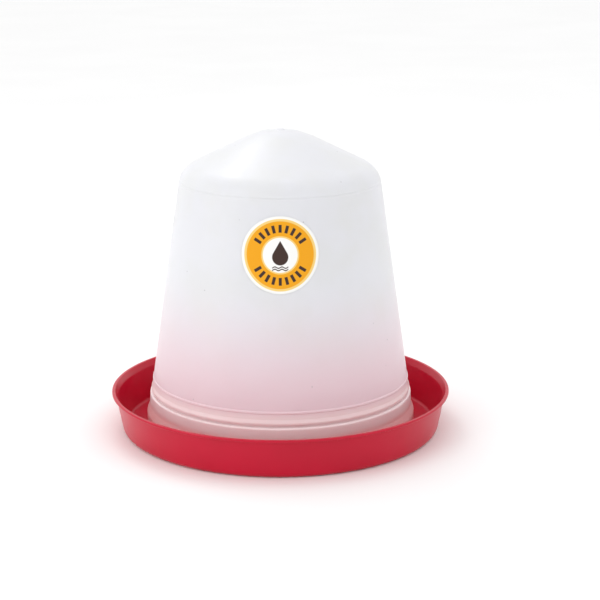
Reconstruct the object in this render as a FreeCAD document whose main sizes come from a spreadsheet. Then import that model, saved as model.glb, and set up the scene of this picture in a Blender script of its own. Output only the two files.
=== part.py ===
"""Siphon drinker for poultry: a translucent tank that stands in a round drinking tray.

The origin is at the middle of the tray's underside and +Z runs up the common axis.
The label faces -Y and the water outlet faces +Y. Lengths are in millimetres, angles in degrees.
"""

import FreeCAD
import Part
import os
import Sketcher
from FreeCAD import Placement, Rotation, Vector

SHEET_NAME = "Sizes"
START, END, CENTRE = 1, 2, 3
ORIGIN = (-1, 1)
AXIS = -2
FULL_TURN = 360.0
SAME_PLACE = 0.01
MM3_PER_CM3 = 1000

SIZES = {
    # drinking tray
    "rim_radius": 170.0,
    "rim_height": 41.0,
    "lip_height": 2.4,
    "lip_reach": 3.5,
    "lip_width": 3.1,
    "lip_outer_round": 1.1,
    "lip_inner_round": 0.7,
    "flare_height": 5.6,
    "flare_round": 6.0,
    "tray_slope": 11.2,
    "tray_wall": 2.2,
    "tray_floor": 2.4,
    "base_round": 7.0,
    "trough_round": 4.0,
    "hub_radius": 118.0,
    "hub_height": 19.0,
    "hub_rise": 3.0,
    "hub_wall": 2.2,
    "hub_round": 3.0,
    # bayonet between tray and tank
    "bayonet_count": 4,
    "lug_angle": 45.0,
    "lug_width": 14.0,
    "lug_tip": 125.0,
    "lug_bottom": 8.0,
    "lug_height": 3.0,
    "hook_turn": 25.0,
    "hook_width": 20.0,
    "hook_reach": 129.3,
    "hook_clearance": 0.5,
    "hook_thickness": 2.4,
    "stop_width": 2.0,
    # tank foot, from the bottom up
    "seat_gap": 0.3,
    "foot_radius": 135.0,
    "foot_top": 19.0,
    "foot_wall": 2.2,
    "foot_round": 2.4,
    "edge_round": 0.8,
    "skirt_bottom": 26.0,
    "skirt_radius": 132.1,
    "cove_round": 5.0,
    "ledge_height": 39.4,
    "ledge_radius": 131.6,
    "ledge_round": 1.8,
    "groove_radius": 128.4,
    "groove_top": 41.7,
    "band_radius": 130.2,
    "band_middle": 43.9,
    "band_top": 47.0,
    "ridge_bottom": 52.2,
    "ridge_height": 2.8,
    "ridge_bevel": 0.5,
    "ridge_proud": 0.6,
    # tank wall and roof
    "shell": 1.9,
    "wall_slope": 8.22,
    "shoulder_radius": 97.75,
    "shoulder_height": 263.1,
    "shoulder_round": 24.0,
    "roof_slope": 26.3,
    "apex_height": 302.3,
    "crease_height": 252.6,
    "crease_depth": 0.5,
    "crease_proud": 0.5,
    "crease_angle": 4.5,
    "gate_radius": 4.0,
    "gate_height": 0.7,
    # water outlet
    "outlet_radius": 4.5,
    "outlet_height": 12.5,
    # label
    "label_radius": 36.0,
    "label_height": 200.9,
    "label_margin": 7.0,
    "label_film": 0.25,
    "label_glue": 0.05,
}


def sized(text):
    """Turn {alias} in an expression into a reference to the sheet's cell."""
    return text.format_map({alias: f"{SHEET_NAME}.{alias}" for alias in SIZES})


def evaluate(feature, text):
    """Value of an expression as a plain number."""
    result = feature.evalExpression(sized(text))
    return float(getattr(result, "Value", result))


def make_sheet(doc):
    """Spreadsheet with one named cell for each driving dimension."""
    sheet = doc.addObject("Spreadsheet::Sheet", SHEET_NAME)
    for row, (alias, size) in enumerate(SIZES.items(), start=1):
        sheet.set(f"A{row}", alias)
        sheet.set(f"B{row}", str(size))
        sheet.setAlias(f"B{row}", alias)
    doc.recompute()


def origin_feature(body, role):
    """Plane or axis of a body's own origin, found by its role."""
    return next(f for f in body.Origin.OriginFeatures if f.Role == role)


def add_sketch(body, name, role="XZ_Plane"):
    """Empty sketch on one of the body's origin planes."""
    sketch = body.newObject("Sketcher::SketchObject", name)
    sketch.AttachmentSupport = [(origin_feature(body, role), "")]
    sketch.MapMode = "FlatFace"
    return sketch


def fix_point(sketch, geometry, position, across, up):
    """Hold a point of the sketch at two expressions."""
    for kind, text in (("DistanceX", across), ("DistanceY", up)):
        if text == "0" and kind == "DistanceX":
            sketch.addConstraint(Sketcher.Constraint("PointOnObject", geometry, position, AXIS))
            continue
        size = evaluate(sketch, text)
        index = sketch.addConstraint(Sketcher.Constraint(kind, *ORIGIN, geometry, position, size))
        sketch.setExpression(f"Constraints[{index}]", sized(text))


def add_outline(sketch, corners, arc_centres=None):
    """Closed outline through corners, each a pair of expressions for the radius and the height.

    arc_centres maps a corner's number to the height of a centre on the axis: from that corner
    the outline runs to the next one as an arc instead of a straight line.
    """
    arc_centres = arc_centres or {}
    points = [Vector(evaluate(sketch, across), evaluate(sketch, up), 0) for across, up in corners]
    heads = []
    tails = []
    for number, point in enumerate(points):
        following = points[(number + 1) % len(points)]
        if number in arc_centres:
            centre = Vector(0, evaluate(sketch, arc_centres[number]), 0)
            circle = Part.Circle(centre, Vector(0, 0, 1), (point - centre).Length)
            clockwise = (point - centre).cross(following - centre).z < 0
            first, last = (following, point) if clockwise else (point, following)
            arc = Part.ArcOfCircle(circle, circle.parameter(first), circle.parameter(last))
            edge = sketch.addGeometry(arc, False)
            sketch.addConstraint(Sketcher.Constraint("PointOnObject", edge, CENTRE, AXIS))
            head, tail = (END, START) if clockwise else (START, END)
        else:
            edge = sketch.addGeometry(Part.LineSegment(point, following), False)
            head, tail = START, END
        heads.append((edge, head))
        tails.append((edge, tail))
    for number, head in enumerate(heads):
        sketch.addConstraint(Sketcher.Constraint("Coincident", *tails[number - 1], *head))
    for head, (across, up) in zip(heads, corners):
        fix_point(sketch, *head, across, up)


def turn(body, kind, name, sketch, angle=None):
    """Revolution or Groove of a sketch round the body's axis, all round or centred on the sketch."""
    feature = body.newObject(f"PartDesign::{kind}", name)
    feature.Profile = sketch
    feature.ReferenceAxis = (sketch, ["V_Axis"])
    if angle is None:
        feature.Angle = FULL_TURN
    else:
        feature.Midplane = True
        feature.setExpression("Angle", sized(angle))
    return feature


def ring_edges(feature, rings):
    """Names of a feature's full circles that lie at the given pairs of radius and height."""
    wanted = [(evaluate(feature, across), evaluate(feature, up)) for across, up in rings]
    names = []
    for radius, height in wanted:
        for number, edge in enumerate(feature.Shape.Edges, start=1):
            if edge.Degenerated or not isinstance(edge.Curve, Part.Circle):
                continue
            off = max(abs(edge.Curve.Radius - radius), abs(edge.Curve.Center.z - height))
            if off < SAME_PLACE:
                names.append(f"Edge{number}")
                break
        else:
            raise RuntimeError(f"no edge at radius {radius}, height {height}")
    return names


def round_rings(body, name, rings, radius):
    """Fillet the named rings of the body's last feature."""
    body.Document.recompute()
    base = body.Tip
    edges = ring_edges(base, rings)
    fillet = body.newObject("PartDesign::Fillet", name)
    fillet.Base = (base, edges)
    fillet.setExpression("Radius", sized(radius))


def add_sector(body, name, corners, middle, width):
    """Block that a section makes when it is turned through width, centred on an angle from +X."""
    sketch = add_sketch(body, name + "_section")
    turned = Rotation(Vector(0, 1, 0), evaluate(sketch, middle))
    sketch.AttachmentOffset = Placement(Vector(0, 0, 0), turned)
    sketch.setExpression("AttachmentOffset.Rotation.Angle", sized(middle))
    add_outline(sketch, corners)
    return turn(body, "Revolution", name, sketch, width)


def repeat_round(body, name, features):
    """Polar pattern of features, one set for each bayonet position."""
    pattern = body.newObject("PartDesign::PolarPattern", name)
    pattern.Originals = features
    pattern.Axis = (origin_feature(body, "Z_Axis"), [""])
    pattern.Angle = FULL_TURN
    pattern.setExpression("Occurrences", sized("{bayonet_count}"))
    body.Tip = pattern


def tray_radius(height, inset="0"):
    """Expression for the tray wall's radius at a height, set in from its outer face."""
    below_lip = "({rim_height} - {lip_height} - (" + height + "))"
    return (
        "{rim_radius} - {lip_reach} - " + below_lip + " * tan({tray_slope})"
        " - (" + inset + ") / cos({tray_slope})"
    )


def wall_radius(height, inset="0"):
    """Expression for the tank wall's radius at a height, set in from its outer face."""
    return (
        "{shoulder_radius} + ({shoulder_height} - (" + height + ")) * tan({wall_slope})"
        " - (" + inset + ") / cos({wall_slope})"
    )


ROOF_PEAK = "({shoulder_height} + {shoulder_radius} * tan({roof_slope}))"
CROWN_RADIUS = "((" + ROOF_PEAK + " - {apex_height}) / (1 / cos({roof_slope}) - 1))"
CROWN_CENTRE = "({apex_height} - " + CROWN_RADIUS + ")"
CORNER_ACROSS = "((cos({roof_slope}) - sin({wall_slope})) / cos({wall_slope} + {roof_slope}))"
CORNER_DOWN = "((cos({wall_slope}) - sin({roof_slope})) / cos({wall_slope} + {roof_slope}))"


def make_tray(doc):
    """Red moulding: trough, thin lip turned outwards, raised hub and bayonet hooks."""
    body = doc.addObject("PartDesign::Body", "drinking_tray")
    body.Label = "drinking_tray"
    section = add_sketch(body, "tray_section")
    under_lip = "{rim_height} - {lip_height}"
    lip_inside = "{rim_radius} - {lip_width}"
    flare = "{rim_height} - {flare_height}"
    flare_start = (tray_radius(flare, "{tray_wall}"), flare)
    hub_inside = "{hub_radius} - {hub_wall}"
    add_outline(
        section,
        [
            ("0", "{hub_height} + {hub_rise}"),
            ("{hub_radius}", "{hub_height}"),
            ("{hub_radius}", "{tray_floor}"),
            (tray_radius("{tray_floor}", "{tray_wall}"), "{tray_floor}"),
            flare_start,
            (lip_inside, "{rim_height}"),
            ("{rim_radius}", "{rim_height}"),
            ("{rim_radius}", under_lip),
            (tray_radius(under_lip), under_lip),
            (tray_radius("0"), "0.0"),
            (hub_inside, "0.0"),
            (hub_inside, "{hub_height} - {tray_floor}"),
            ("0", "{hub_height} + {hub_rise} - {tray_floor}"),
        ],
    )
    turn(body, "Revolution", "tray_shell", section)
    trough = (tray_radius("{tray_floor}", "{tray_wall}"), "{tray_floor}")
    hub_rings = [("{hub_radius}", "{hub_height}"), ("{hub_radius}", "{tray_floor}")]
    lip_inner = [
        (lip_inside, "{rim_height}"),
        ("{rim_radius}", under_lip),
        (tray_radius(under_lip), under_lip),
    ]
    round_rings(body, "flare", [flare_start], "{flare_round}")
    round_rings(body, "lip_outer", [("{rim_radius}", "{rim_height}")], "{lip_outer_round}")
    round_rings(body, "lip_inner", lip_inner, "{lip_inner_round}")
    round_rings(body, "base", [(tray_radius("0"), "0")], "{base_round}")
    round_rings(body, "trough", [trough], "{trough_round}")
    round_rings(body, "hub", hub_rings, "{hub_round}")
    hook_low = "{lug_bottom} + {lug_height} + {hook_clearance}"
    root = "{hub_radius} - {hub_wall} / 2"
    hook = add_sector(
        body,
        "hook",
        box_corners(root, "{hook_reach}", hook_low, hook_low + " + {hook_thickness}"),
        "{lug_angle} + {hook_turn}",
        "{hook_width}",
    )
    stop = add_sector(
        body,
        "stop",
        box_corners(root, "{hook_reach}", "{tray_floor} / 2", hook_low + " + {hook_thickness} / 2"),
        "{lug_angle} + {hook_turn} + {lug_width} / 2 + {stop_width}",
        "{stop_width}",
    )
    repeat_round(body, "hooks", [hook, stop])
    return body


def make_tank(doc):
    """Translucent moulding: tapered wall under a conical roof, moulded lines, skirt and foot."""
    body = doc.addObject("PartDesign::Body", "fount_tank")
    body.Label = "fount_tank"
    seat = "{tray_floor} + {seat_gap}"
    ridge_top = "{ridge_bottom} + {ridge_height}"
    foot_inside = "{foot_radius} - {foot_wall}"
    ledge_inside = "{ledge_height} - {foot_wall}"
    section = add_sketch(body, "tank_section")
    corners = [
        ("0", "{apex_height}"),
        (
            f"{CROWN_RADIUS} * sin({{roof_slope}})",
            f"{CROWN_CENTRE} + {CROWN_RADIUS} * cos({{roof_slope}})",
        ),
        ("{shoulder_radius}", "{shoulder_height}"),
        (wall_radius(ridge_top), ridge_top),
        (wall_radius(ridge_top) + " + {ridge_proud}", ridge_top + " - {ridge_bevel}"),
        (wall_radius("{ridge_bottom}") + " + {ridge_proud}", "{ridge_bottom} + {ridge_bevel}"),
        (wall_radius("{ridge_bottom}"), "{ridge_bottom}"),
        (wall_radius("{band_top}"), "{band_top}"),
        ("{band_radius}", "{band_middle}"),
        ("{band_radius}", "{groove_top}"),
        ("{groove_radius}", "{groove_top}"),
        ("{groove_radius}", "{ledge_height}"),
        ("{ledge_radius}", "{ledge_height}"),
        ("{skirt_radius}", "{skirt_bottom}"),
        ("{foot_radius}", "{foot_top}"),
        ("{foot_radius}", seat),
        (foot_inside, seat),
        (foot_inside, "{foot_top} - {foot_wall} / 2"),
        ("{skirt_radius} - {foot_wall}", "{skirt_bottom} - {foot_wall} / 2"),
        ("{ledge_radius} - {foot_wall}", ledge_inside),
        ("{groove_radius} - {shell}", ledge_inside + " + {ledge_round}"),
        (wall_radius(ridge_top, "{shell}"), ridge_top),
        (
            f"{{shoulder_radius}} - {{shell}} * {CORNER_ACROSS}",
            f"{{shoulder_height}} - {{shell}} * {CORNER_DOWN}",
        ),
        (
            f"({CROWN_RADIUS} - {{shell}}) * sin({{roof_slope}})",
            f"{CROWN_CENTRE} + ({CROWN_RADIUS} - {{shell}}) * cos({{roof_slope}})",
        ),
        ("0", "{apex_height} - {shell}"),
    ]
    crown_outside = 0
    crown_inside = len(corners) - 2
    add_outline(section, corners, {crown_outside: CROWN_CENTRE, crown_inside: CROWN_CENTRE})
    turn(body, "Revolution", "tank_shell", section)
    round_rings(body, "shoulder", [corners[2]], "{shoulder_round}")
    round_rings(body, "shoulder_inside", [corners[-3]], "{shoulder_round} - {shell}")
    round_rings(body, "foot", [("{foot_radius}", "{foot_top}")], "{foot_round}")
    round_rings(body, "cove", [("{skirt_radius}", "{skirt_bottom}")], "{cove_round}")
    round_rings(body, "ledge", [("{ledge_radius}", "{ledge_height}")], "{ledge_round}")
    edges = [
        ("{foot_radius}", seat),
        (foot_inside, seat),
        ("{band_radius}", "{groove_top}"),
        ("{ledge_radius} - {foot_wall}", ledge_inside),
    ]
    round_rings(body, "soft_edges", edges, "{edge_round}")
    add_crease(body)
    add_gate(body)
    add_lugs(body)
    add_outlet(body)
    return body


def crease_corner(side, proud):
    """Corner of the crease's section, to one side of its middle and proud of the rounded shoulder."""
    across = "({shoulder_radius} - {shoulder_round} * " + CORNER_ACROSS + ")"
    up = "({shoulder_height} - {shoulder_round} * " + CORNER_DOWN + ")"
    middle = "asin(({crease_height} - " + up + ") / {shoulder_round})"
    angle = "(" + middle + " + " + str(side) + " * {crease_angle} * 1 deg)"
    reach = "({shoulder_round} + " + proud + ")"
    return across + " + " + reach + " * cos(" + angle + ")", up + " + " + reach + " * sin(" + angle + ")"


def add_crease(body):
    """Fine line turned into the rounded shoulder, where the roof meets the wall."""
    section = add_sketch(body, "crease_section")
    sides = [crease_corner(side, "{crease_proud}") for side in (1, -1)]
    add_outline(section, [crease_corner(0, "-{crease_depth}"), *sides])
    turn(body, "Groove", "crease", section)


def add_gate(body):
    """Low round stub at the top of the roof, where the moulding was filled."""
    gate_top = "{apex_height} + {gate_height}"
    section = add_sketch(body, "gate_section")
    add_outline(section, box_corners("0", "{gate_radius}", "{apex_height} - {shell} / 2", gate_top))
    turn(body, "Revolution", "gate", section)
    round_rings(body, "gate_edge", [("{gate_radius}", gate_top)], "{gate_height} / 2")


def add_lugs(body):
    """Bayonet lugs that point inwards from the foot."""
    root = "{foot_radius} - {foot_wall} / 2"
    corners = box_corners("{lug_tip}", root, "{lug_bottom}", "{lug_bottom} + {lug_height}")
    lug = add_sector(body, "lug", corners, "{lug_angle}", "{lug_width}")
    repeat_round(body, "lugs", [lug])


def add_outlet(body):
    """Round hole low in the foot that lets water out and air in."""
    section = add_sketch(body, "outlet_section")
    circle = section.addGeometry(Part.Circle(Vector(0, 0, 0), Vector(0, 0, 1), 1), False)
    fix_point(section, circle, CENTRE, "0", "{outlet_height}")
    size = evaluate(section, "{outlet_radius}")
    radius = section.addConstraint(Sketcher.Constraint("Radius", circle, size))
    section.setExpression(f"Constraints[{radius}]", sized("{outlet_radius}"))
    hole = body.newObject("PartDesign::Pocket", "outlet")
    hole.Profile = section
    hole.setExpression("Length", sized("{foot_radius} + {foot_wall}"))


def make_label(doc):
    """Round film label that lies on the front of the tank's tapered wall."""
    half_band = "({label_radius} + {label_margin})"
    low = "{label_height} - " + half_band
    high = "{label_height} + " + half_band
    cones = []
    for name, inset in (("label_back", "-{label_glue}"), ("label_front", "-{label_glue} - {label_film}")):
        cone = doc.addObject("Part::Cone", name)
        cone.setExpression("Radius1", sized(wall_radius(low, inset)))
        cone.setExpression("Radius2", sized(wall_radius(high, inset)))
        cone.setExpression("Height", sized("2 * " + half_band))
        cone.setExpression("Placement.Base.z", sized(low))
        cones.append(cone)
    film = doc.addObject("Part::Cut", "label_cone")
    film.Tool, film.Base = cones
    disc = doc.addObject("Part::Cylinder", "label_disc")
    disc.Placement = Placement(Vector(0, 0, 0), Rotation(Vector(1, 0, 0), 90))
    disc.setExpression("Radius", sized("{label_radius}"))
    disc.setExpression("Height", sized("{rim_radius}"))
    disc.setExpression("Placement.Base.z", sized("{label_height}"))
    label = doc.addObject("Part::Common", "round_label")
    label.Base = film
    label.Tool = disc
    label.Label = "round_label"
    return label


def box_corners(inner, outer, low, high):
    """Corners of a rectangular section between two radii and two heights."""
    return [(inner, low), (outer, low), (outer, high), (inner, high)]


def check(doc, parts):
    """Stop if any object has failed, or if a sub-part is not one valid solid."""
    for item in doc.Objects:
        if {"Invalid", "Error"} & set(item.State):
            raise RuntimeError(f"{item.Name} is {item.State}")
    for part in parts:
        shape = part.Shape
        if shape.isNull() or not shape.isValid() or len(shape.Solids) != 1:
            raise RuntimeError(f"{part.Label} is not one valid solid")


def main():
    doc = FreeCAD.newDocument("siphon_drinker")
    make_sheet(doc)
    parts = [make_tray(doc), make_tank(doc), make_label(doc)]
    doc.recompute()
    check(doc, parts)
    os.makedirs("parts", exist_ok=True)
    for part in parts:
        part.Shape.exportStep(f"parts/{part.Label}.step")
        volume = round(part.Shape.Volume / MM3_PER_CM3, 1)
        print(part.Label, volume, "cm3", part.Shape.optimalBoundingBox())


main()
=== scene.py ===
"""Looks of a siphon drinker for poultry: a milky tank with a round label, standing in a red tray."""

import math

import bmesh
import bpy
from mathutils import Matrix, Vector


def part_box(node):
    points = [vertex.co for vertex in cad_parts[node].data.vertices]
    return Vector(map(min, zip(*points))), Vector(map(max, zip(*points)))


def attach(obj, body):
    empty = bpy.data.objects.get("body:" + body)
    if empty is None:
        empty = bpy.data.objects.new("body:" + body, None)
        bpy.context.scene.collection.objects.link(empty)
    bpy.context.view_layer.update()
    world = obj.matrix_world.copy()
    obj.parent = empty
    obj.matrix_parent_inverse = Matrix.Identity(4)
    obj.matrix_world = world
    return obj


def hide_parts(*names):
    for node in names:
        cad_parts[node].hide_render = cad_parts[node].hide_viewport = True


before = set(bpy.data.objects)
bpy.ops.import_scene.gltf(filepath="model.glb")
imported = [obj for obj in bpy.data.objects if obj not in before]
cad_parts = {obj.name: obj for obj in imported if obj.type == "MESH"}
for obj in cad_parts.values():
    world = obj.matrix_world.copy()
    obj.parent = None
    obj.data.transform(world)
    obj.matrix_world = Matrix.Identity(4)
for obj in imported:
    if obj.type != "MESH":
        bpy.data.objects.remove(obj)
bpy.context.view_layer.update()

MM = 0.001
SEGMENTS = 192
ROW_SPACING = 7.0 * MM
ARC_STEP = math.radians(12)
SHARP_ANGLE = math.radians(38)
SOFT_EDGE = 0.35 * MM

# Sizes that the frame gives
TANK_LOW, TANK_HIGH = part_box("fount_tank")
TRAY_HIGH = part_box("drinking_tray")[1]
LABEL_LOW, LABEL_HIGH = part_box("round_label")
RIM_RADIUS = TRAY_HIGH.x
RIM_HEIGHT = TRAY_HIGH.z
FOOT_RADIUS = TANK_HIGH.x
TANK_TOP = TANK_HIGH.z
TANK_SEAT = TANK_LOW.z
LABEL_RADIUS = (LABEL_HIGH.x - LABEL_LOW.x) / 2
LABEL_HEIGHT = (LABEL_HIGH.z + LABEL_LOW.z) / 2

# Drinking tray
LIP_HEIGHT = 2.4 * MM
LIP_REACH = 3.5 * MM
LIP_WIDTH = 3.1 * MM
FLARE_HEIGHT = 5.6 * MM
TRAY_SLOPE = math.radians(11.2)
TRAY_WALL = 2.2 * MM
TRAY_FLOOR = 2.4 * MM
HUB_RADIUS = 118.0 * MM
HUB_HEIGHT = 19.0 * MM
HUB_RISE = 3.0 * MM
HUB_ROUND = 3.0 * MM
TROUGH_ROUND = 4.0 * MM
FLARE_ROUND = 6.0 * MM
BASE_ROUND = 7.0 * MM
LIP_OUTER_ROUND = 1.1 * MM
LIP_INNER_ROUND = 0.7 * MM
UNDER_ROUND = 0.8 * MM
UNDER_EDGE_ROUND = 0.4 * MM

# Bayonet between tray and tank
BAYONET_COUNT = 4
LUG_ANGLE = math.radians(45)
LUG_WIDTH = math.radians(14)
LUG_TIP = 125.0 * MM
LUG_BOTTOM = 8.0 * MM
LUG_HEIGHT = 3.0 * MM
HOOK_TURN = math.radians(25)
HOOK_WIDTH = math.radians(20)
HOOK_REACH = 129.3 * MM
HOOK_BOTTOM = 11.5 * MM
HOOK_THICKNESS = 2.4 * MM
STOP_WIDTH = math.radians(2)

# Tank
SHELL = 1.9 * MM
FOOT_WALL = 2.2 * MM
FOOT_TOP = 19.0 * MM
SKIRT_BOTTOM = 26.0 * MM
SKIRT_RADIUS = 132.1 * MM
FOOT_ROUND = 2.4 * MM
COVE_ROUND = 5.0 * MM
EDGE_ROUND = 0.8 * MM
INNER_ROUND = 1.0 * MM
NECK_ROUND = 0.5 * MM
LEDGE_HEIGHT = 39.4 * MM
LEDGE_RADIUS = 131.6 * MM
LEDGE_ROUND = 1.8 * MM
GROOVE_RADIUS = 128.4 * MM
GROOVE_TOP = 41.7 * MM
GROOVE_ROUND = 0.3 * MM
BAND_RADIUS = 130.2 * MM
BAND_MIDDLE = 43.9 * MM
BAND_TOP = 47.0 * MM
BAND_ROUND = 1.2 * MM
RIDGE_BOTTOM = 52.2 * MM
RIDGE_TOP = 55.0 * MM
RIDGE_BEVEL = 0.5 * MM
RIDGE_PROUD = 0.6 * MM
RIDGE_ROUND = 0.4 * MM
WALL_SLOPE = math.radians(8.22)
SHOULDER_RADIUS = 97.75 * MM
SHOULDER_HEIGHT = 263.1 * MM
SHOULDER_ROUND = 24.0 * MM
ROOF_SLOPE = math.radians(26.3)
GATE_RADIUS = 4.0 * MM
GATE_HEIGHT = 0.7 * MM
APEX_HEIGHT = TANK_TOP - GATE_HEIGHT
CREASE_HEIGHT = 252.6 * MM
CREASE_DEPTH = 0.4 * MM
CREASE_HALF = 1.7 * MM
OUTLET_RADIUS = 4.5 * MM
OUTLET_HEIGHT = 12.5 * MM

# Label
LABEL_GLUE = 0.05 * MM
LABEL_FILM = 0.25 * MM
LABEL_EDGE = 0.12 * MM


# ---------------------------------------------------------------- outlines


def tray_radius(height, inset=0.0):
    """Radius of the tray's sloping wall at a height, set in from its outer face."""
    below_lip = RIM_HEIGHT - LIP_HEIGHT - height
    return RIM_RADIUS - LIP_REACH - below_lip * math.tan(TRAY_SLOPE) - inset / math.cos(TRAY_SLOPE)


def wall_radius(height, inset=0.0):
    """Radius of the tank's tapered wall at a height, set in from its outer face."""
    below = SHOULDER_HEIGHT - height
    return SHOULDER_RADIUS + below * math.tan(WALL_SLOPE) - inset / math.cos(WALL_SLOPE)


def arc(centre, radius, first, last):
    """Points on an arc from one angle to another, both included."""
    count = max(2, math.ceil(abs(last - first) / ARC_STEP))
    angles = [first + (last - first) * k / count for k in range(count + 1)]
    return [centre + Vector((math.cos(a), math.sin(a))) * radius for a in angles]


def rounded(corners):
    """Points of an open outline through corners of (radius, height, rounding)."""
    places = [Vector(corner[:2]) for corner in corners]
    points = [places[0]]
    for before, here, after, corner in zip(places, places[1:], places[2:], corners[1:]):
        back = (before - here).normalized()
        ahead = (after - here).normalized()
        half = back.angle(ahead) / 2
        centre = here + (back + ahead).normalized() * corner[2] / math.sin(half)
        start = here + back * corner[2] / math.tan(half) - centre
        end = here + ahead * corner[2] / math.tan(half) - centre
        first = math.atan2(start.y, start.x)
        sweep = math.remainder(math.atan2(end.y, end.x) - first, math.tau)
        points += arc(centre, corner[2], first, first + sweep)
    return points + [places[-1]]


def with_rows(points):
    """The outline with its long straight runs divided into even rows."""
    rows = [points[0]]
    for point in points[1:]:
        start = rows[-1]
        count = max(1, math.ceil((point - start).length / ROW_SPACING))
        rows += [start.lerp(point, (k + 1) / count) for k in range(count)]
    return rows


def crown(inset):
    """Centre and radius of the rounded top of the roof, set in from its outer face."""
    peak = SHOULDER_HEIGHT + SHOULDER_RADIUS * math.tan(ROOF_SLOPE)
    radius = (peak - APEX_HEIGHT) / (1 / math.cos(ROOF_SLOPE) - 1)
    return Vector((0, APEX_HEIGHT - radius)), radius - inset


def shoulder_centre():
    """Centre of the arc between the tapered wall and the roof."""
    across = (math.cos(ROOF_SLOPE) - math.sin(WALL_SLOPE)) / math.cos(WALL_SLOPE + ROOF_SLOPE)
    down = (math.cos(WALL_SLOPE) - math.sin(ROOF_SLOPE)) / math.cos(WALL_SLOPE + ROOF_SLOPE)
    return Vector((SHOULDER_RADIUS - SHOULDER_ROUND * across, SHOULDER_HEIGHT - SHOULDER_ROUND * down))


def shoulder(inset, crease):
    """Arc of the shoulder from the roof down to the wall, with a fine crease turned into it."""
    centre = shoulder_centre()
    middle = math.asin((CREASE_HEIGHT - centre.y) / SHOULDER_ROUND)
    half = CREASE_HALF / SHOULDER_ROUND
    top = math.pi / 2 - ROOF_SLOPE
    if not crease:
        return arc(centre, SHOULDER_ROUND - inset, top, WALL_SLOPE)
    points = arc(centre, SHOULDER_ROUND, top, middle + half)
    steps = 8
    for k in range(1, steps):
        turned = 1 - 2 * k / steps
        dip = CREASE_DEPTH * (1 + math.cos(math.pi * turned)) / 2
        angle = middle + half * turned
        points.append(centre + Vector((math.cos(angle), math.sin(angle))) * (SHOULDER_ROUND - dip))
    return points + arc(centre, SHOULDER_ROUND, middle - half, WALL_SLOPE)


def tank_outline():
    """Outline of the tank from the top of the gate mark, round the foot and up the inside."""
    crown_centre, crown_radius = crown(0)
    gate_angle = math.acos(GATE_RADIUS / crown_radius)
    roof_angle = math.pi / 2 - ROOF_SLOPE
    gate_round = GATE_HEIGHT / 2
    gate_foot = crown_centre + Vector((GATE_RADIUS, math.sin(gate_angle) * crown_radius))
    outside = rounded([(0, TANK_TOP), (GATE_RADIUS, TANK_TOP, gate_round), gate_foot])
    outside += arc(crown_centre, crown_radius, gate_angle, roof_angle)[1:]
    outside += shoulder(0, crease=True)
    ridge_low = RIDGE_BOTTOM + RIDGE_BEVEL
    ridge_high = RIDGE_TOP - RIDGE_BEVEL
    ledge_inside = LEDGE_HEIGHT - FOOT_WALL
    inner_wall = wall_radius(RIDGE_TOP, SHELL)
    foot = rounded([
        outside[-1],
        (wall_radius(RIDGE_TOP), RIDGE_TOP, RIDGE_ROUND),
        (wall_radius(ridge_high) + RIDGE_PROUD, ridge_high, RIDGE_ROUND),
        (wall_radius(ridge_low) + RIDGE_PROUD, ridge_low, RIDGE_ROUND),
        (wall_radius(RIDGE_BOTTOM), RIDGE_BOTTOM, RIDGE_ROUND),
        (wall_radius(BAND_TOP), BAND_TOP, BAND_ROUND),
        (BAND_RADIUS, BAND_MIDDLE, BAND_ROUND),
        (BAND_RADIUS, GROOVE_TOP, EDGE_ROUND),
        (GROOVE_RADIUS, GROOVE_TOP, GROOVE_ROUND),
        (GROOVE_RADIUS, LEDGE_HEIGHT, GROOVE_ROUND),
        (LEDGE_RADIUS, LEDGE_HEIGHT, LEDGE_ROUND),
        (SKIRT_RADIUS, SKIRT_BOTTOM, COVE_ROUND),
        (FOOT_RADIUS, FOOT_TOP, FOOT_ROUND),
        (FOOT_RADIUS, TANK_SEAT, EDGE_ROUND),
        (FOOT_RADIUS - FOOT_WALL, TANK_SEAT, EDGE_ROUND),
        (FOOT_RADIUS - FOOT_WALL, FOOT_TOP - FOOT_WALL / 2, INNER_ROUND),
        (SKIRT_RADIUS - FOOT_WALL, SKIRT_BOTTOM - FOOT_WALL / 2, INNER_ROUND),
        (LEDGE_RADIUS - FOOT_WALL, ledge_inside, EDGE_ROUND),
        (GROOVE_RADIUS - SHELL, ledge_inside + LEDGE_ROUND, NECK_ROUND),
        (inner_wall, RIDGE_TOP, INNER_ROUND),
        shoulder(SHELL, crease=False)[-1],
    ])
    inside = shoulder(SHELL, crease=False)[::-1]
    inner_centre, inner_radius = crown(SHELL)
    inside += arc(inner_centre, inner_radius, roof_angle, math.pi / 2)
    return outside + foot[1:-1] + inside


def tray_outline():
    """Outline of the tray from the hub's top, along the trough, over the lip and under the floor."""
    under_lip = RIM_HEIGHT - LIP_HEIGHT
    flare = RIM_HEIGHT - FLARE_HEIGHT
    hub_inside = HUB_RADIUS - TRAY_WALL
    return rounded([
        (0, HUB_HEIGHT + HUB_RISE),
        (HUB_RADIUS, HUB_HEIGHT, HUB_ROUND),
        (HUB_RADIUS, TRAY_FLOOR, HUB_ROUND),
        (tray_radius(TRAY_FLOOR, TRAY_WALL), TRAY_FLOOR, TROUGH_ROUND),
        (tray_radius(flare, TRAY_WALL), flare, FLARE_ROUND),
        (RIM_RADIUS - LIP_WIDTH, RIM_HEIGHT, LIP_INNER_ROUND),
        (RIM_RADIUS, RIM_HEIGHT, LIP_OUTER_ROUND),
        (RIM_RADIUS, under_lip, LIP_INNER_ROUND),
        (tray_radius(under_lip), under_lip, LIP_INNER_ROUND),
        (tray_radius(0), 0, BASE_ROUND),
        (hub_inside, 0, UNDER_EDGE_ROUND),
        (hub_inside, HUB_HEIGHT - TRAY_FLOOR, UNDER_ROUND),
        (0, HUB_HEIGHT + HUB_RISE - TRAY_FLOOR),
    ])


# ---------------------------------------------------------------- meshes


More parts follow.
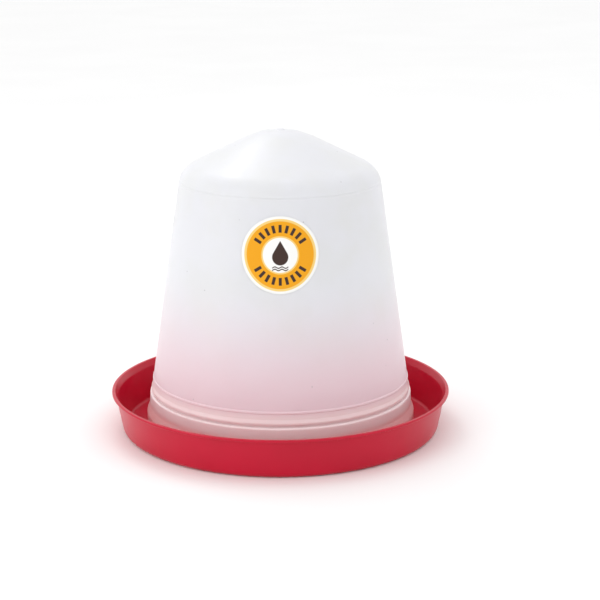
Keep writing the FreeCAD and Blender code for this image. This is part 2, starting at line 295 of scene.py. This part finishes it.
def to_object(name, shape):
    """Blender object made from a bmesh, with its faces turned outwards."""
    bmesh.ops.recalc_face_normals(shape, faces=shape.faces)
    mesh = bpy.data.meshes.new(name)
    shape.to_mesh(mesh)
    shape.free()
    piece = bpy.data.objects.new(name, mesh)
    bpy.context.scene.collection.objects.link(piece)
    return piece


def lathe(name, outline):
    """Closed piece made by turning an outline, which starts and ends on the axis, round the Z axis."""
    shape = bmesh.new()
    angles = [math.tau * k / SEGMENTS for k in range(SEGMENTS)]
    rings = []
    for radius, height in outline:
        if radius < MM * MM:
            rings.append([shape.verts.new((0, 0, height))])
        else:
            places = [(radius * math.cos(a), radius * math.sin(a), height) for a in angles]
            rings.append([shape.verts.new(place) for place in places])
    for ring, following in zip(rings, rings[1:]):
        for k in range(SEGMENTS):
            pair = [ring[k % len(ring)], ring[(k + 1) % SEGMENTS % len(ring)]]
            pair += [following[(k + 1) % SEGMENTS % len(following)], following[k % len(following)]]
            shape.faces.new(list(dict.fromkeys(pair)))
    return to_object(name, shape)


def sectors(name, inner, outer, low, high, middle, width):
    """Blocks with softened edges between two radii and two heights, one at each bayonet position."""
    shape = bmesh.new()
    section = ((inner, low), (outer, low), (outer, high), (inner, high))
    steps = 10
    for position in range(BAYONET_COUNT):
        start = middle - width / 2 + math.tau * position / BAYONET_COUNT
        slices = []
        for k in range(steps + 1):
            a = start + width * k / steps
            slices.append([shape.verts.new((r * math.cos(a), r * math.sin(a), z)) for r, z in section])
        for one, other in zip(slices, slices[1:]):
            for k in range(len(section)):
                shape.faces.new((one[k - 1], one[k], other[k], other[k - 1]))
        shape.faces.new(slices[0])
        shape.faces.new(slices[-1])
    bmesh.ops.recalc_face_normals(shape, faces=shape.faces)
    edges = [edge for edge in shape.edges if edge.calc_face_angle() > SHARP_ANGLE]
    bmesh.ops.bevel(shape, geom=edges, offset=SOFT_EDGE, segments=2, affect="EDGES")
    return to_object(name, shape)


def outlet_bore():
    """Round bar along Y that cuts the outlet hole through the foot."""
    shape = bmesh.new()
    ends = []
    count = 40
    for y in (FOOT_RADIUS - 3 * FOOT_WALL, FOOT_RADIUS + FOOT_WALL):
        angles = [math.tau * k / count for k in range(count)]
        across = [OUTLET_RADIUS * math.cos(a) for a in angles]
        heights = [OUTLET_HEIGHT + OUTLET_RADIUS * math.sin(a) for a in angles]
        ends.append([shape.verts.new((x, y, z)) for x, z in zip(across, heights)])
    for k in range(count):
        shape.faces.new((ends[0][k - 1], ends[0][k], ends[1][k], ends[1][k - 1]))
    shape.faces.new(ends[0])
    shape.faces.new(ends[1])
    return to_object("outlet_bore", shape)


def combine(piece, operation, tool):
    """Joins a tool to the piece or cuts it out of the piece, and removes the tool."""
    modifier = piece.modifiers.new(operation, "BOOLEAN")
    modifier.operation = operation
    modifier.solver = "EXACT"
    modifier.object = tool
    settle(piece)
    bpy.data.objects.remove(tool)


def settle(piece):
    """Applies the piece's modifiers to its mesh."""
    graph = bpy.context.evaluated_depsgraph_get()
    piece.data = bpy.data.meshes.new_from_object(piece.evaluated_get(graph))
    piece.data.name = piece.name
    piece.modifiers.clear()


def smooth(piece):
    """Smooth shading that keeps flat faces flat and real corners crisp."""
    for face in piece.data.polygons:
        face.use_smooth = True
    piece.data.set_sharp_from_angle(angle=SHARP_ANGLE)
    modifier = piece.modifiers.new("even_normals", "WEIGHTED_NORMAL")
    modifier.keep_sharp = True
    settle(piece)


def make_tray():
    """Red drinking tray with its hooks and stops."""
    tray = lathe("moulded_tray", with_rows(tray_outline()))
    root = HUB_RADIUS - TRAY_WALL / 2
    hook_middle = LUG_ANGLE + HOOK_TURN
    hook_top = HOOK_BOTTOM + HOOK_THICKNESS
    stop_middle = hook_middle + LUG_WIDTH / 2 + STOP_WIDTH
    stop_top = HOOK_BOTTOM + HOOK_THICKNESS / 2
    hooks = sectors("hooks", root, HOOK_REACH, HOOK_BOTTOM, hook_top, hook_middle, HOOK_WIDTH)
    combine(tray, "UNION", hooks)
    stops = sectors("stops", root, HOOK_REACH, TRAY_FLOOR / 2, stop_top, stop_middle, STOP_WIDTH)
    combine(tray, "UNION", stops)
    smooth(tray)
    return tray


def make_tank():
    """Milky tank with its bayonet lugs and the outlet hole."""
    tank = lathe("moulded_tank", with_rows(tank_outline()))
    root = FOOT_RADIUS - FOOT_WALL / 2
    lugs = sectors("lugs", LUG_TIP, root, LUG_BOTTOM, LUG_BOTTOM + LUG_HEIGHT, LUG_ANGLE, LUG_WIDTH)
    combine(tank, "UNION", lugs)
    combine(tank, "DIFFERENCE", outlet_bore())
    smooth(tank)
    return tank


def make_label():
    """Round film label bent round the tapered wall, with a softened edge."""
    shape = bmesh.new()
    count = 128
    face_rings = 12
    front_inset = -(LABEL_GLUE + LABEL_FILM)
    rings = [(LABEL_RADIUS * k / face_rings, front_inset) for k in range(face_rings)]
    rings += [(LABEL_RADIUS - LABEL_EDGE, front_inset), (LABEL_RADIUS, front_inset + LABEL_EDGE)]
    rings += [(LABEL_RADIUS, -LABEL_GLUE), (0, -LABEL_GLUE)]
    loops = []
    for radius, inset in rings:
        loop = []
        for k in range(count if radius else 1):
            x = radius * math.cos(math.tau * k / count)
            z = LABEL_HEIGHT + radius * math.sin(math.tau * k / count)
            loop.append(shape.verts.new((x, -math.sqrt(wall_radius(z, inset) ** 2 - x * x), z)))
        loops.append(loop)
    for loop, following in zip(loops, loops[1:]):
        for k in range(count):
            corners = [loop[k % len(loop)], loop[(k + 1) % count % len(loop)]]
            corners += [following[(k + 1) % count % len(following)], following[k % len(following)]]
            shape.faces.new(list(dict.fromkeys(corners)))
    label = to_object("printed_label", shape)
    smooth(label)
    return label


# ---------------------------------------------------------------- materials


class Shader:
    """A procedural material on one Principled shader, with short ways to add its nodes."""

    def __init__(self, name):
        self.material = bpy.data.materials.new(name)
        self.material.use_nodes = True
        self.tree = self.material.node_tree
        self.principled = self.tree.nodes["Principled BSDF"]
        self.place = self.add("ShaderNodeTexCoord").outputs["Object"]

    def add(self, kind, *values, **settings):
        """New node with its settings, and its inputs set or linked in order."""
        node = self.tree.nodes.new(kind)
        for name, value in settings.items():
            setattr(node, name, value)
        for socket, value in zip(node.inputs, values):
            self.feed(socket, value)
        return node

    def feed(self, socket, value):
        """Links an output to a socket, or sets the socket's own value."""
        if isinstance(value, bpy.types.NodeSocket):
            self.tree.links.new(value, socket)
        elif value is not None:
            socket.default_value = value

    def set(self, **inputs):
        """Sets or links the Principled shader's inputs, with spaces written as underscores."""
        for name, value in inputs.items():
            self.feed(self.principled.inputs[name.replace("_", " ")], value)

    def math(self, operation, *values):
        """Result of a sum on outputs and numbers."""
        return self.add("ShaderNodeMath", *values, operation=operation).outputs[0]

    def axes(self):
        """Outputs with the place's X, Y and Z in metres."""
        return self.add("ShaderNodeSeparateXYZ", self.place).outputs

    def noise(self, scale, detail):
        """Soft noise from 0 to 1, at a scale in waves per metre."""
        node = self.add("ShaderNodeTexNoise")
        self.feed(node.inputs["Vector"], self.place)
        self.feed(node.inputs["Scale"], scale)
        self.feed(node.inputs["Detail"], detail)
        return node.outputs["Fac"]

    def ease(self, value, low, high, to_low=0.0, to_high=1.0):
        """Smooth step of a value between two limits."""
        node = self.add("ShaderNodeMapRange", interpolation_type="SMOOTHSTEP")
        for socket, number in zip(node.inputs, (value, low, high, to_low, to_high)):
            self.feed(socket, number)
        return node.outputs[0]

    def length(self, *values):
        """Distance from the origin to the place that the values give."""
        squares = [self.math("MULTIPLY", value, value) for value in values]
        return self.math("SQRT", self.math("ADD", *squares))

    def below(self, value, limit):
        """1 where a value is under a limit, with the soft edge of printed ink."""
        return self.ease(value, limit + INK_EDGE, limit - INK_EDGE)

    def within(self, value, low, high):
        """1 where a value lies between two limits."""
        return self.math("SUBTRACT", self.below(value, high), self.below(value, low))

    def mix(self, share, first, second):
        """Blend of two colours."""
        node = self.add("ShaderNodeMix", data_type="RGBA")
        for socket, value in zip((node.inputs[0], node.inputs[6], node.inputs[7]), (share, first, second)):
            self.feed(socket, value)
        return node.outputs[2]

    def bump(self, height, distance, under=None):
        """Relief of a height from 0 to 1, as deep as distance."""
        node = self.add("ShaderNodeBump")
        self.feed(node.inputs["Height"], height)
        self.feed(node.inputs["Distance"], distance)
        self.feed(node.inputs["Normal"], under)
        return node.outputs[0]


MILK = (0.765, 0.77, 0.81, 1)
MILK_CLOUD = (0.75, 0.755, 0.77, 1)
PAINTED_TRAY_LIGHT = (0.80, 0.60, 0.65, 1)
FOOT_PAINTED_TRAY_LIGHT = (0.94, 0.74, 0.75, 1)
FOOT_PAINTED_DEEP_TRAY_LIGHT = (0.94, 0.56, 0.56, 1)
SPECK = (0.30, 0.29, 0.30, 1)
RED = (0.53, 0.002, 0.027, 1)
RED_DEEP = (0.49, 0.002, 0.024, 1)
RED_WORN_AND_HIGHLIGHT = (0.62, 0.03, 0.055, 1)
PAPER = (0.965, 0.965, 0.965, 1)
PAPER_CLOUD = (0.98, 0.98, 0.98, 1)
WHITE_INK = (0.90, 0.90, 0.88, 1)
CREAM_INK = (0.88, 0.62, 0.20, 1)
AMBER_INK = (0.84, 0.36, 0.002, 1)
BROWN_INK = (0.045, 0.022, 0.016, 1)

# Heights between which painted red light fades in on the tank, from the top down. It stands in for the
# tray's red light bounced through the plastic.
PAINTED_LIGHT_TOP = 175 * MM
PAINTED_LIGHT_FULL = 54 * MM
FOOT_PAINTED_LIGHT_TOP = 57 * MM
FOOT_PAINTED_LIGHT_FULL = 46 * MM
DEEP_PAINTED_LIGHT_TOP = 32 * MM
DEEP_PAINTED_LIGHT_FULL = 25 * MM

# Print on the label, in parts of the label's radius
INK_EDGE = 0.008
RING_INSIDE = 0.45
RING_OUTSIDE = 0.93
AMBER_INSIDE = 0.49
AMBER_OUTSIDE = 0.87
BAR_INSIDE = 0.58
BAR_OUTSIDE = 0.78
BAR_HALF_WIDTH = 0.040
BAR_TURN = math.radians(7.25)
BARS_END = math.radians(64)
DROP_RADIUS = 0.21
DROP_MIDDLE = -0.05
DROP_SLOPE = math.radians(30)
RIPPLE_LEVELS = (-0.315, -0.375)
RIPPLE_HALF_LENGTH = 0.21
RIPPLE_HALF_WIDTH = 0.015
RIPPLE_SWING = 0.018
RIPPLE_PACE = 34.0


def milky_plastic():
    """Translucent satin polyethylene: soft clouds, rare specks, and painted red light bounced from the
    tray, strongest at its foot.
    """
    shader = Shader("milky_plastic")
    cloud = shader.ease(shader.noise(22, 3), 0.35, 0.7)
    colour = shader.mix(cloud, MILK, MILK_CLOUD)
    height = shader.axes()[2]
    # Painted light: the lower tank is tinted pink to red by height, standing in for the tray's red light
    # bounced into the milky plastic.
    colour = shader.mix(shader.ease(height, PAINTED_LIGHT_TOP, PAINTED_LIGHT_FULL), colour, PAINTED_TRAY_LIGHT)
    colour = shader.mix(shader.ease(height, FOOT_PAINTED_LIGHT_TOP, FOOT_PAINTED_LIGHT_FULL), colour, FOOT_PAINTED_TRAY_LIGHT)
    colour = shader.mix(shader.ease(height, DEEP_PAINTED_LIGHT_TOP, DEEP_PAINTED_LIGHT_FULL), colour, FOOT_PAINTED_DEEP_TRAY_LIGHT)
    dots = shader.add("ShaderNodeTexVoronoi")
    shader.feed(dots.inputs["Vector"], shader.place)
    shader.feed(dots.inputs["Scale"], 60)
    specks = shader.ease(dots.outputs["Distance"], 0.05, 0.02, 0, 0.6)
    colour = shader.mix(specks, colour, SPECK)
    roughness = shader.ease(shader.noise(60, 4), 0.3, 0.75, 0.32, 0.42)
    waves = shader.bump(shader.noise(28, 1), 0.15 * MM)
    grain = shader.bump(shader.noise(1500, 2), 0.02 * MM, waves)
    shader.set(Base_Color=colour, Roughness=roughness, Normal=grain)
    shader.set(Subsurface_Weight=1.0, Subsurface_Scale=3.0 * MM, Subsurface_Radius=(1, 1, 1), IOR=1.5)
    return shader.material


def red_plastic():
    """Glossy moulded polypropylene: soft flow clouds, faint waves, and a paler lip top that is partly
    rubbed wear and partly a painted highlight.
    """
    shader = Shader("red_plastic")
    cloud = shader.ease(shader.noise(18, 3), 0.35, 0.7)
    colour = shader.mix(cloud, RED, RED_DEEP)
    # Painted highlight and wear: the top 0.6 mm of the lip is lightened in noisy patches, partly standing
    # in for light catching the rim's crest.
    wear_and_highlight_depth = 0.6 * MM
    lip = shader.ease(shader.axes()[2], RIM_HEIGHT - wear_and_highlight_depth, RIM_HEIGHT)
    wear_and_highlight = shader.math("MULTIPLY", lip, shader.ease(shader.noise(160, 4), 0.42, 0.7, 0.1, 0.4))
    colour = shader.mix(wear_and_highlight, colour, RED_WORN_AND_HIGHLIGHT)
    roughness = shader.ease(shader.noise(20, 1), 0.3, 0.7, 0.28, 0.33)
    waves = shader.bump(shader.noise(14, 1), 0.04 * MM)
    shader.set(Base_Color=colour, Roughness=roughness, Normal=waves, Specular_IOR_Level=0.3)
    return shader.material


def tick_marks(shader, across, up, radius):
    """Short bars in the amber ring, above and below the middle."""
    turn = shader.math("ARCTAN2", across, shader.math("ABSOLUTE", up))
    beside = shader.math("MULTIPLY", shader.math("PINGPONG", turn, BAR_TURN), radius)
    along = shader.within(radius, BAR_INSIDE, BAR_OUTSIDE)
    bars = shader.math("MULTIPLY", shader.below(beside, BAR_HALF_WIDTH), along)
    return shader.math("MULTIPLY", bars, shader.below(shader.math("ABSOLUTE", turn), BARS_END))


def water_drop(shader, across, up):
    """Drop with its point at the top: a round bowl and a cone that touches it."""
    tip = DROP_MIDDLE + DROP_RADIUS / math.sin(DROP_SLOPE)
    touch = DROP_MIDDLE + DROP_RADIUS * math.sin(DROP_SLOPE)
    bowl = shader.below(shader.length(across, shader.math("SUBTRACT", up, DROP_MIDDLE)), DROP_RADIUS)
    half_width = shader.math("MULTIPLY", shader.math("SUBTRACT", tip, up), math.tan(DROP_SLOPE))
    beside = shader.math("SUBTRACT", shader.math("ABSOLUTE", across), half_width)
    above = shader.math("GREATER_THAN", up, touch)
    return shader.math("MAXIMUM", bowl, shader.math("MULTIPLY", shader.below(beside, 0.0), above))


def ripples(shader, across, up):
    """Two short wavy lines under the drop."""
    wave = shader.math("SINE", shader.math("MULTIPLY", across, RIPPLE_PACE))
    level = shader.math("SUBTRACT", up, shader.math("MULTIPLY", wave, RIPPLE_SWING))
    near = [shader.math("ABSOLUTE", shader.math("SUBTRACT", level, line)) for line in RIPPLE_LEVELS]
    lines = shader.below(shader.math("MINIMUM", *near), RIPPLE_HALF_WIDTH)
    return shader.math("MULTIPLY", lines, shader.below(shader.math("ABSOLUTE", across), RIPPLE_HALF_LENGTH))


def label_film():
    """Printed film: cream-edged amber ring with bars, and a water drop over two ripples on white."""
    shader = Shader("label_film")
    x, _, z = shader.axes()
    across = shader.math("DIVIDE", x, LABEL_RADIUS)
    up = shader.math("DIVIDE", shader.math("SUBTRACT", z, LABEL_HEIGHT), LABEL_RADIUS)
    radius = shader.length(across, up)
    colour = shader.mix(shader.within(radius, RING_INSIDE, RING_OUTSIDE), WHITE_INK, CREAM_INK)
    colour = shader.mix(shader.within(radius, AMBER_INSIDE, AMBER_OUTSIDE), colour, AMBER_INK)
    ink = shader.math("MAXIMUM", water_drop(shader, across, up), ripples(shader, across, up))
    ink = shader.math("MAXIMUM", ink, tick_marks(shader, across, up, radius))
    colour = shader.mix(ink, colour, BROWN_INK)
    roughness = shader.ease(shader.noise(300, 3), 0.3, 0.7, 0.32, 0.42)
    relief = shader.bump(shader.noise(500, 2), 0.01 * MM)
    shader.set(Base_Color=colour, Roughness=roughness, Normal=relief, Specular_IOR_Level=0.3)
    return shader.material


def studio_floor():
    """Plain matt white paper with barely paler clouds."""
    shader = Shader("studio_floor")
    shade = shader.ease(shader.noise(3, 2), 0.3, 0.7)
    colour = shader.mix(shade, PAPER, PAPER_CLOUD)
    shader.set(Base_Color=colour, Roughness=0.9, Specular_IOR_Level=0.1)
    return shader.material


# ---------------------------------------------------------------- studio


def make_floor():
    """Large round sheet that the drinker stands on."""
    shape = bmesh.new()
    bmesh.ops.create_circle(shape, cap_ends=True, radius=9.0, segments=96)
    floor = to_object("floor", shape)
    floor.data.materials.append(studio_floor())


def make_camera():
    """Camera in front of the label, a little above, as far away as a product photographer stands."""
    elevation = math.radians(17.53)
    distance = 1.70
    aim_right = 20.0 * MM
    aim_up = 86.3 * MM
    data = bpy.data.cameras.new("camera")
    data.sensor_width = 36
    data.lens = 100.4
    camera = bpy.data.objects.new("camera", data)
    bpy.context.scene.collection.objects.link(camera)
    rim_middle = Vector((0, 0, RIM_HEIGHT))
    ahead = Vector((0, math.cos(elevation), -math.sin(elevation)))
    up = Vector((0, math.sin(elevation), math.cos(elevation)))
    camera.location = rim_middle - ahead * distance
    aim = rim_middle + Vector((aim_right, 0, 0)) + up * aim_up
    camera.rotation_euler = (aim - camera.location).to_track_quat("-Z", "Y").to_euler()
    bpy.context.scene.camera = camera


def add_light(name, place, size, power):
    """Square soft box that faces the middle of the drinker, its size in metres and power in watts."""
    data = bpy.data.lights.new(name, "AREA")
    data.size = size
    data.energy = power
    light = bpy.data.objects.new(name, data)
    light.location = place
    middle = Vector((0, 0, TANK_TOP / 2))
    light.rotation_euler = (middle - light.location).to_track_quat("-Z", "Y").to_euler()
    bpy.context.scene.collection.objects.link(light)


def make_light():
    """Two soft boxes from the left front, one overhead, one behind the roof, and a white surround."""
    add_light("key", (-1.5, -1.3, 1.25), 1.1, 3.5)
    add_light("side", (-2.1, -1.0, 0.55), 1.0, 3.5)
    add_light("overhead", (-0.2, 0.3, 2.4), 2.2, 4)
    add_light("roof", (-0.45, 0.85, 1.45), 0.5, 2.5)
    world = bpy.data.worlds.new("surround")
    world.use_nodes = True
    world.node_tree.nodes["Background"].inputs["Color"].default_value = (1, 1, 1, 1)
    world.node_tree.nodes["Background"].inputs["Strength"].default_value = 1.0
    bpy.context.scene.world = world
    bpy.context.scene.view_settings.view_transform = "Standard"


def dress(piece, material, body, node):
    """Gives a piece its material, hangs it on its body and hides the CAD node that it stands for."""
    piece.data.materials.clear()
    piece.data.materials.append(material)
    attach(piece, body)
    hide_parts(node)


make_camera()
make_light()
make_floor()
dress(make_tray(), red_plastic(), "tray", "drinking_tray")
dress(make_tank(), milky_plastic(), "fount", "fount_tank")
dress(make_label(), label_film(), "fount", "round_label")
